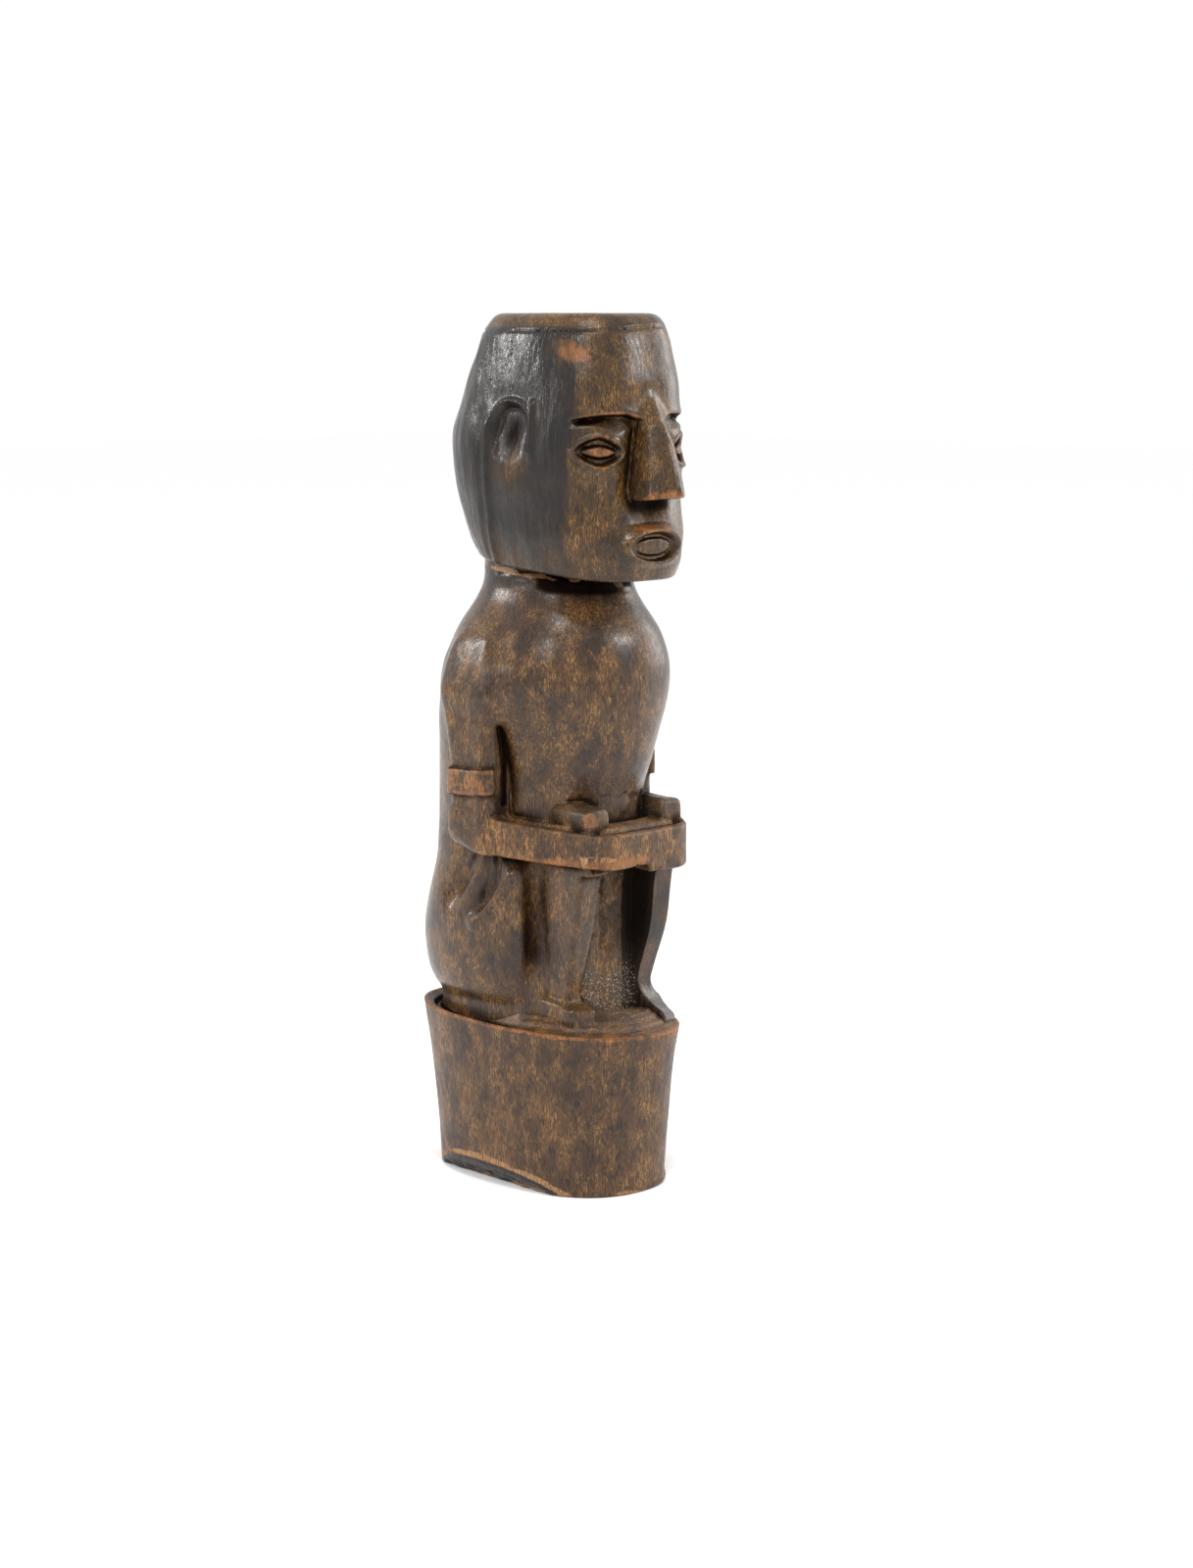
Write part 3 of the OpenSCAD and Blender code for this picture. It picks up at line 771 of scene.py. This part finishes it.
DARK_LINE, BLOT = (0.006, 0.004, 0.003), (0.010, 0.0065, 0.005)
# the first near black is the hair's stain, and is also painted on as shade on the neck and far shin; the
# second is painted shade for the hollows and cuts
STAIN_AND_SHADE, PAINTED_SHADE = (0.0085, 0.0075, 0.008), (0.0035, 0.0016, 0.001)
RUBBED_PALE, RUBBED_DEEP = (0.34, 0.13, 0.035), (0.15, 0.05, 0.016)
BARE_PALE, BARE_DEEP = (0.34, 0.20, 0.09), (0.15, 0.065, 0.025)
DUST_SPECK, DUST_HAZE = (0.36, 0.30, 0.24), (0.12, 0.095, 0.075)
BUMP_DEPTH = 0.00026  # metres


def wood(name, base, warm, fleck, fleck_amount, gloss):
    """Dark-stained wood with pore flecks, which each mesh's channels wear, blacken, dust and darken; the
    blackening is partly painted shade, and the darkening in the hollows and cuts is painted shade.
    """
    w = Wood(name)
    patch = w.grain(7, 7, 10, 4, 0.6)
    cloud = w.grain(2.4, 2.4, 4.6, 4, 0.65, 5.0)
    pores = w.grain(0.27, 0.27, 1.0, 3, 0.65, 3.0)
    fine = w.grain(0.17, 0.17, 1.1, 2, 0.6, 9.0)
    worn, hollow = w.mark("worn"), w.mark("hollow")
    black, raw, dust = w.mark("black"), w.mark("raw"), w.mark("dust")

    colour = w.mix(w.step(patch, 0.32, 0.68), base, warm)
    colour = w.mix(w.math("MULTIPLY", w.step(cloud, 0.40, 0.62), 0.4), colour, warm)
    plenty = w.math("ADD", w.math("MULTIPLY", cloud, 0.55), w.math("MULTIPLY", patch, 0.45))
    much = w.step(plenty, 0.36, 0.64)
    streak = w.math("MULTIPLY", w.step(fine, 0.38, 0.64), w.step(much, 0.0, 1.0, 0.25, 0.75))
    colour = w.mix(streak, colour, w.mix(0.3, warm, fleck))
    threshold = w.step(much, 0.0, 1.0, 0.62 - fleck_amount * 0.06, 0.50 - fleck_amount * 0.06)
    flecks = w.step(pores, threshold, w.math("ADD", threshold, 0.14))
    flecks = w.math("MULTIPLY", flecks, w.math("SUBTRACT", 1.0, black, clamp=True))
    colour = w.mix(w.math("MULTIPLY", flecks, w.step(much, 0.0, 1.0, 0.25, 0.9)), colour, fleck)
    dark_lines = w.step(w.grain(0.26, 0.26, 1.8, 2, 0.6, 14.0), 0.52, 0.66)
    colour = w.mix(w.math("MULTIPLY", dark_lines, 0.8), colour, DARK_LINE)
    blot = w.step(w.grain(3.4, 3.4, 5.0, 3, 0.6, 21.0), 0.50, 0.68)
    colour = w.mix(w.math("MULTIPLY", blot, 0.30), colour, BLOT)
    # worn edges show orange-brown wood, broken up by the grain
    rub = w.step(w.math("ADD", worn, w.math("MULTIPLY", w.math("SUBTRACT", pores, 0.5), 1.1)), 0.40, 0.78)
    rub = w.math("MULTIPLY", rub, w.step(cloud, 0.36, 0.56, 0.25, 1.0))
    rub_colour = w.mix(w.step(fine, 0.4, 0.6), RUBBED_PALE, RUBBED_DEEP)
    colour = w.mix(w.math("MULTIPLY", rub, 0.8), colour, rub_colour)
    # black: the hair's stain, the dark inside of the plinth's chip, and painted shade on the neck and far
    # shin
    stain_and_shade = w.math("MULTIPLY", black, w.step(cloud, 0.25, 0.75, 1.0, 0.82))
    colour = w.mix(stain_and_shade, colour, STAIN_AND_SHADE)
    # painted shade: hollows and cuts are darkened toward near black, less where dust lies, and made rougher
    painted_shade = w.step(w.math("SUBTRACT", hollow, w.math("MULTIPLY", dust, 0.7)), 0.4, 1.9)
    colour = w.mix(w.math("MULTIPLY", painted_shade, 0.96), colour, PAINTED_SHADE)
    bare = w.step(w.math("ADD", raw, w.math("MULTIPLY", w.math("SUBTRACT", pores, 0.5), 0.8)), 0.35, 0.6)
    bare_colour = w.mix(w.step(fine, 0.4, 0.62), BARE_PALE, BARE_DEEP)
    colour = w.mix(bare, colour, bare_colour)
    speck = w.grain(0.33, 0.33, 0.33, 1, 0.5, 2.0)
    limit = w.step(dust, 0.0, 1.0, 0.84, 0.60)
    specks = w.step(speck, limit, w.math("ADD", limit, 0.03))
    colour = w.mix(w.math("MULTIPLY", specks, 0.85), colour, DUST_SPECK)
    colour = w.mix(w.math("MULTIPLY", dust, 0.22), colour, DUST_HAZE)

    rough = w.step(w.grain(0.5, 0.5, 3.0, 3, 0.6, 41.0), 0.35, 0.65, gloss, gloss + 0.16)
    rough = w.math("ADD", rough, w.math("MULTIPLY", painted_shade, 0.30))
    rough = w.math("ADD", rough, w.math("MULTIPLY", bare, 0.35))
    rough = w.math("ADD", rough, w.math("MULTIPLY", rub, 0.10))
    rough = w.math("SUBTRACT", rough, w.math("MULTIPLY", black, 0.05))
    rough = w.math("ADD", rough, w.math("MULTIPLY", dust, 0.3), clamp=True)

    lines = w.grain(0.35, 0.35, 7.0, 2, 0.6, 31.0)
    height = w.math("MULTIPLY", pores, 0.25)
    height = w.math("ADD", height, w.math("MULTIPLY", lines, w.step(black, 0.0, 1.0, 0.25, 0.75)))
    height = w.math("ADD", height, w.math("MULTIPLY", w.grain(1.6, 1.6, 3.0, 2, 0.5, 17.0), 0.8))
    bump = w.add("ShaderNodeBump")
    bump.inputs["Strength"].default_value = 0.4
    bump.inputs["Distance"].default_value = BUMP_DEPTH
    w.links.new(height, bump.inputs["Height"])
    shader = w.add("ShaderNodeBsdfPrincipled")
    w.put(shader.inputs["Base Color"], colour)
    w.put(shader.inputs["Roughness"], rough)
    # hollows and cuts also reflect almost nothing, which stands in for their shade
    w.put(shader.inputs["Specular IOR Level"], w.step(hollow, 0.3, 1.4, 0.42, 0.02))
    shader.inputs["IOR"].default_value = 1.45
    shader.inputs["Metallic"].default_value = 0.0
    w.links.new(bump.outputs[0], shader.inputs["Normal"])
    out = w.add("ShaderNodeOutputMaterial")
    w.links.new(shader.outputs[0], out.inputs[0])
    return w.material


FLECK = (0.24, 0.125, 0.040)
WOODS = {  # dark and warm base colour, the flecks' colour and amount, and roughness
    "plinth_wood": ((0.022, 0.011, 0.007), (0.086, 0.040, 0.015), FLECK, 0.7, 0.38),
    "body_wood": ((0.017, 0.010, 0.008), (0.070, 0.033, 0.013), FLECK, 0.55, 0.20),
    "head_wood": ((0.015, 0.009, 0.005), (0.058, 0.029, 0.009), (0.23, 0.112, 0.028), 0.55, 0.20),
    "band_wood": ((0.025, 0.013, 0.008), (0.098, 0.047, 0.017), (0.32, 0.155, 0.048), 0.9, 0.3),
}
MATERIALS = {name: wood(name, *look) for name, look in WOODS.items()}
SLOTS = {row["node"]: row["material_slot"] for row in frame["record"]["subparts"]}


def plain(name, colour, rough):
    """A material of one colour."""
    m = bpy.data.materials.new(name)
    m.use_nodes = True
    shader = m.node_tree.nodes["Principled BSDF"]
    shader.inputs["Base Color"].default_value = (*colour, 1)
    shader.inputs["Roughness"].default_value = rough
    return m


# ---------------------------------------------------------------- marks of wear, staining, dust and painted shade
def no_marks(n):
    """Black (staining and painted shade), bare wood, dust, unworn places, and what is added to worn and, as
    painted shade, to hollow, all at 0.
    """
    return {key: np.zeros(n, F) for key in ("black", "raw", "dust", "quiet", "rub", "deep")}


def patchy(x, y, z, size, shift, low, high):
    """1 in some places and 0 in others, with features of the given size."""
    return ramp(noise(x, y, z, *size, shift), low, high)


def plinth_marks(p):
    x, y, z = p.T
    m = no_marks(len(p))
    # the chip: dark inside, with torn pale fibres along its upper edge and round the foot
    m["black"] = ramp(chip_side(x, y, z), -0.75, -0.35) * 0.95
    tear = bell(chip_side(x, y, z) + 0.85, 0.42) * patchy(x, y, z, (2.2, 2.2, 0.9), 7.0, -0.9, 0.0)
    m["raw"] = tear + 0.9 * ramp(z, 1.3, 0.4) * patchy(x, y, z, (2.5, 2.5, 1.0), 1.0, -0.1, 0.5)
    # the worn rim, and the rubbed stretch below its front
    rim = rim_height(x, y)
    below_rim = np.maximum(rim - z, 0)
    side = PLINTH(x, y, z)
    edge = bell(side + 0.1, 0.5) * bell(below_rim - 0.1, 0.35) * ramp(z, rim - 2, rim - 1)
    edge = edge * (0.35 + 0.65 * patchy(x, y, z, (2.4, 2.4, 3), 13.0, -0.5, 0.3))
    front = 0.5 * ramp(side, -1.3, -0.5) * bell(below_rim, 2.0) * ramp(-y, 12, 20) * ramp(z, 26, 28)
    m["rub"] = 0.85 * edge + 1.8 * front * patchy(x, y, z, (2, 2, 3), 9.0, -0.2, 0.5)
    m["dust"] = 0.9 * bell(np.hypot(x, y + 17), 7) * ramp(z, 29, 31.5)
    return m


def figure_marks(p):
    x, y, z = p.T
    ax = np.abs(x)
    m = no_marks(len(p))
    # dust between the legs and in the lap
    between = ramp(7.5 - ax, 0, 1.5) * ramp(-y, 10, 13)
    lap = ramp(-y, 8, 12) * bell(z - 70, 3.2) * ramp(15 - ax, 0, 2)
    m["dust"] = np.maximum(between * (0.25 + 0.75 * ramp(z, 47, 36)) * ramp(z, 62, 58), 0.5 * lap)
    # pale torn fibres under the jaw and chips along the forearms' lower edge
    under_jaw = jaw_height(y) - z
    torn = bell(under_jaw - 1.2, 0.5) * ramp(-x, -1, 4) * ramp(-y, -8, -2)
    torn = torn * patchy(x, y, z, (2.2, 2.2, 0.8), 7.0, -0.6, 0.3)
    chips = bell(z - 62.9, 1.2) * bell(x + 11.5, 5) * ramp(-y, 15, 18)
    m["raw"] = np.maximum(torn, chips * patchy(x, y, z, (1.4, 1.4, 0.9), 3.3, -0.4, 0.1))
    # painted shade in black: on the neck, thickest right under the jaw, and down the front of the far (left)
    # shin
    neck = 0.85 * ramp(under_jaw, 6.5, 1.5) * patchy(x, y, z, (5, 5, 3), 2.0, -0.6, 0.2)
    far_leg = ramp(x, 5, 6) * ramp(-y, 8, 11) * ramp(z, 61, 58)
    m["black"] = np.maximum(neck, far_leg * (0.5 + 0.4 * noise(x, y, z, 2, 2, 5, 6.0)))
    # painted shade, added to the hollows: beside the web and on it, in the hip's creases, behind the shin,
    # under seat and foot, below the jaw
    slot = ramp(x, 2.6, 3.1) * ramp(7.2 - x, 0, 0.4) * ramp(-y, 7, 8) * ramp(y, -21.5, -20.5)
    creases = np.maximum(*(bell(stroke(y, z, line), width) for line, width in zip(CREASES, (1.0, 1.1))))
    creases = creases * ramp(ax, 11, 13) * ramp(z, 49, 56) * ramp(z, 63, 61)
    gap = bell(np.hypot(ax - 13.2, y + 11), 1.5) * ramp(z, 36, 40) * ramp(z, 62, 60)
    seat_foot = bell(z - 35.5, 1.6) * ramp(y, -8, -6) * ramp(ax, 5, 9)
    web = ramp(3.5 - ax, 0, 0.5) * ramp(-y, 11, 13) * ramp(z, 62, 60)
    foot_base = bell(z - 32.3, 0.9) * ramp(-x, 10.8, 12) * ramp(-y, 10, 13)
    pocket = bell(np.maximum(under_jaw - 2.6, 0), 1.3) * ramp(-y, 6, 11)
    pocket = pocket * patchy(x, y, z, (3, 3, 1.5), 5.0, -0.9, 0.1)
    m["deep"] = (2.4 * slot * ramp(z, 62, 60.5) + 0.9 * creases + 0.8 * gap + 0.6 * seat_foot + 0.9 * web
                 + 2.6 * pocket + 1.1 * foot_base)
    # worn wood: knee, armband, fold, the hand's knuckle, two scratches and the forearms' lower edge
    knee_edge = bell(np.hypot(ax - 12.0, y + 21.5), 1.6) * bell(z - 70.5, 2.0)
    cuff = bell(z - 76.1, 2.3) * ramp(ax, 20, 21) * (1 + 0.6 * noise(x, y, z, 1.5, 1.5, 1.2, 4.0))
    fold = bell(stroke(y, z, FOLD), 0.9) * ramp(ax, 11, 13)
    knuckle = bell(np.hypot(x + 10.2, (z - 69.8) * 1.3), 1.7) * ramp(-y, 17, 20)
    scratch_a = bell(stroke(x, z, ((-9.5, 100.5), (-8.2, 98.6))), 0.6)
    scratch_b = bell(stroke(x, z, ((-6.6, 100.8), (-4.4, 97.6))), 0.75)
    scratches = np.maximum(scratch_a, scratch_b) * ramp(-y, 5, 8)
    low_band = bell(z - 62.6, 1.1) * ramp(-y, 8, 12) * ramp(-x, -4, 2)
    m["rub"] = (0.8 * knee_edge + 0.6 * cuff + 0.45 * fold + 0.45 * knuckle + 0.6 * scratches
                + 0.75 * low_band)
    m["quiet"] = ramp(-y, 4, 6.5) * ramp(ax, 11.9, 12.6) * ramp(z, 61.5, 60.5)
    return m


def head_marks(p):
    x, y, z = p.T
    ax = np.abs(x)
    m = no_marks(len(p))
    u = face_place(x, y, z)[0]
    # the black hair, which thins toward the jaw and leaves the ear's lobe and one worn spot bare
    edge = -19.3 + 1.4 * noise(x, y, z, 2, 2, 5, 1.0) + 0.8 * noise(x, y, z, 0.6, 0.6, 2.5, 4.0)
    edge = edge + 0.12 * np.maximum(130 - z, 0) - 0.9 * bell(z - 147, 5)
    hair = ramp(y, edge - 0.7, edge + 1.2) * (1 - 0.5 * ramp(z, 124, 115))
    lobe = bell(np.hypot(y - EAR[0] + 0.5, (z - 133.2) / 1.2), 3.2) * ramp(ax, 12, 14)
    crown = ramp(z, 157.2, 157.9)
    spot = bell(np.hypot((y + 17.6) / 1.6, z - 153.4 - 0.35 * (y + 17.6)), 2.1) * ramp(-x, 6, 9)
    m["black"] = hair * (1 - 0.8 * lobe) * (1 - crown) * (1 - spot) * 0.97
    # the crown, barer at its ends
    ends = ramp(y - x, 8, 20) + ramp(-y - x, 24, 34) * 0.6
    bare = 0.1 + 0.22 * ramp(z, 159.2, 159.8) + 0.25 * ends + 0.25 * noise(x, y, z, 5, 5, 3, 5.0)
    m["raw"] = crown * bare
    # worn wood: upper lip, lobe, nose tip, spot, the eye's lens and lid, the brow and the ear's ridge
    lip = bell(z - 122.2, 0.8) * bell(u, 6) * ramp(-y, 19, 22)
    nose_tip = bell(z - 128.2, 1.2) * ramp(-y, 27, 29.5)
    lens = bell((u - EYE) / 3.2, 1) * bell((z - 135.75) / 0.9, 1)
    lid = bell((np.abs(u - EYE) / 4.7) ** 1.45 + (np.abs(z - 135.8) / 2.75) ** 1.45 - 1.12, 0.16)
    under_brow = brow_height(u) - z
    brow = bell(under_brow + 0.2, 0.45) * ramp(u, 17, 13) * ramp(-y, 8, 12) * ramp(u, 2.5, 4.5)
    ridge = bell(y + 1.2, 0.5) * ramp(z, 128, 132) * ramp(z, 144, 141) * ramp(ax, 13, 15)
    m["rub"] = (1.1 * lip + 0.5 * lobe * patchy(x, y, z, (1.5, 1.5, 2.0), 2.0, 0.1, 0.6) + 0.7 * nose_tip
                + 1.2 * spot + (lens + 0.5 * lid) * ramp(-y, 12, 15) + 0.8 * brow + 0.5 * ridge)
    # painted shade, added to the hollows: under the brow, in the ear and between nose and lip
    brow_shade = bell(under_brow - 1.0, 1.0) * ramp(u, 16, 12) * ramp(-y, 8, 12) * ramp(u, 3, 4.5)
    in_ear = bell(np.hypot(y - EAR[0], (z - 138.6) / 1.4), 3.9) * ramp(ax, 12, 14)
    philtrum = bell(u, 5) * ramp(z, 122.5, 123.6) * ramp(z, 128, 127) * ramp(-y, 20, 23)
    m["deep"] = 0.6 * brow_shade + 1.25 * in_ear + 0.8 * philtrum
    return m


# ---------------------------------------------------------------- build
BUILDS = [  # field, low and high corner of its grid, the grid's step, the nodes, and their marks
    (plinth_field, (-20.5, -28.5, -1.5), (20.5, 28.5, 36), 0.46, ["plinth"], plinth_marks),
    (figure_field, (-23.5, -28, 28.72), (23.5, 25.5, 118), 0.38, FIGURE_NODES, figure_marks),
    (head_field, (-19.5, -32, 111), (19.5, 19, 161), 0.33, ["head", "right_ear", "left_ear"], head_marks),
]
for field, low, high, step, nodes, extra in BUILDS:
    p, normal, quads, owners, skin = surface(field, np.array(low), np.array(high), step)
    worn, hollow = marks(field, p, normal, skin)
    channels = {"worn": worn, "hollow": hollow, **extra(p)}
    # the cuts' painted shade joins the hollows, which the wood darkens as painted shade
    channels["hollow"] = channels["hollow"] + channels.pop("deep")
    channels["worn"] = channels["worn"] * (1 - channels.pop("quiet")) + channels.pop("rub")
    for number, node in enumerate(nodes, 1):
        piece("doll_" + node, p, normal, quads, owners, number, channels, MATERIALS[SLOTS[node]], node)
    print(field.__name__, len(p), "points", len(quads), "faces", flush=True)


# ---------------------------------------------------------------- stage, light and camera
def compass(azimuth, elevation):
    """The direction at these angles: azimuth 0 is the front, and the figure's left is at 90."""
    a, e = math.radians(azimuth), math.radians(elevation)
    return Vector((math.sin(a) * math.cos(e), -math.cos(a) * math.cos(e), math.sin(e)))


def aim(obj, target):
    obj.rotation_euler = (Vector(target) - obj.location).to_track_quat("-Z", "Y").to_euler()


def softbox(name, azimuth, elevation, distance, size, power):
    """A soft rectangular lamp that faces the figure's middle."""
    data = bpy.data.lights.new(name, "AREA")
    data.shape = "RECTANGLE"
    data.size, data.size_y = size
    data.energy = power
    obj = bpy.data.objects.new(name, data)
    obj.location = MIDDLE + distance * compass(azimuth, elevation)
    bpy.context.collection.objects.link(obj)
    aim(obj, MIDDLE)


MIDDLE = Vector((0, 0, 0.09))
LAMPS = {  # azimuth, elevation, distance, size and power
    "left": (-142, 24, 0.70, (0.06, 0.09), 1.5),
    "above": (-40, 66, 0.70, (0.08, 0.08), 1.4),
    "right": (38, 24, 0.75, (0.06, 0.14), 1.4),
    "front": (-62, 36, 0.75, (0.06, 0.06), 0.9),
    "side": (-112, 14, 0.70, (0.03, 0.08), 0.35),
    "rim": (78, 12, 0.70, (0.28, 0.36), 1.3),
}

bpy.ops.mesh.primitive_grid_add(x_subdivisions=2, y_subdivisions=2, size=6)
floor = bpy.context.object
floor.name = "floor"
floor.data.materials.append(plain("floor", (0.97, 0.97, 0.97), 0.95))

world = bpy.data.worlds.new("studio")
bpy.context.scene.world = world
world.use_nodes = True
background = world.node_tree.nodes["Background"]
background.inputs[0].default_value = (1, 1, 1, 1)
background.inputs[1].default_value = 1.02
for name, place in LAMPS.items():
    softbox(name, *place)
bpy.context.scene.view_settings.view_transform = "Standard"

CAMERA_TARGET = Vector((0.00592, -0.00613, 0.0735))
camera_data = bpy.data.cameras.new("camera")
camera = bpy.data.objects.new("camera", camera_data)
bpy.context.collection.objects.link(camera)
bpy.context.scene.camera = camera
camera_data.sensor_fit = "VERTICAL"
camera_data.sensor_height = 36
camera_data.lens = 70.4025
camera_data.clip_start = 0.01
camera.location = CAMERA_TARGET + 0.570 * compass(-46, 8.5)
aim(camera, CAMERA_TARGET)
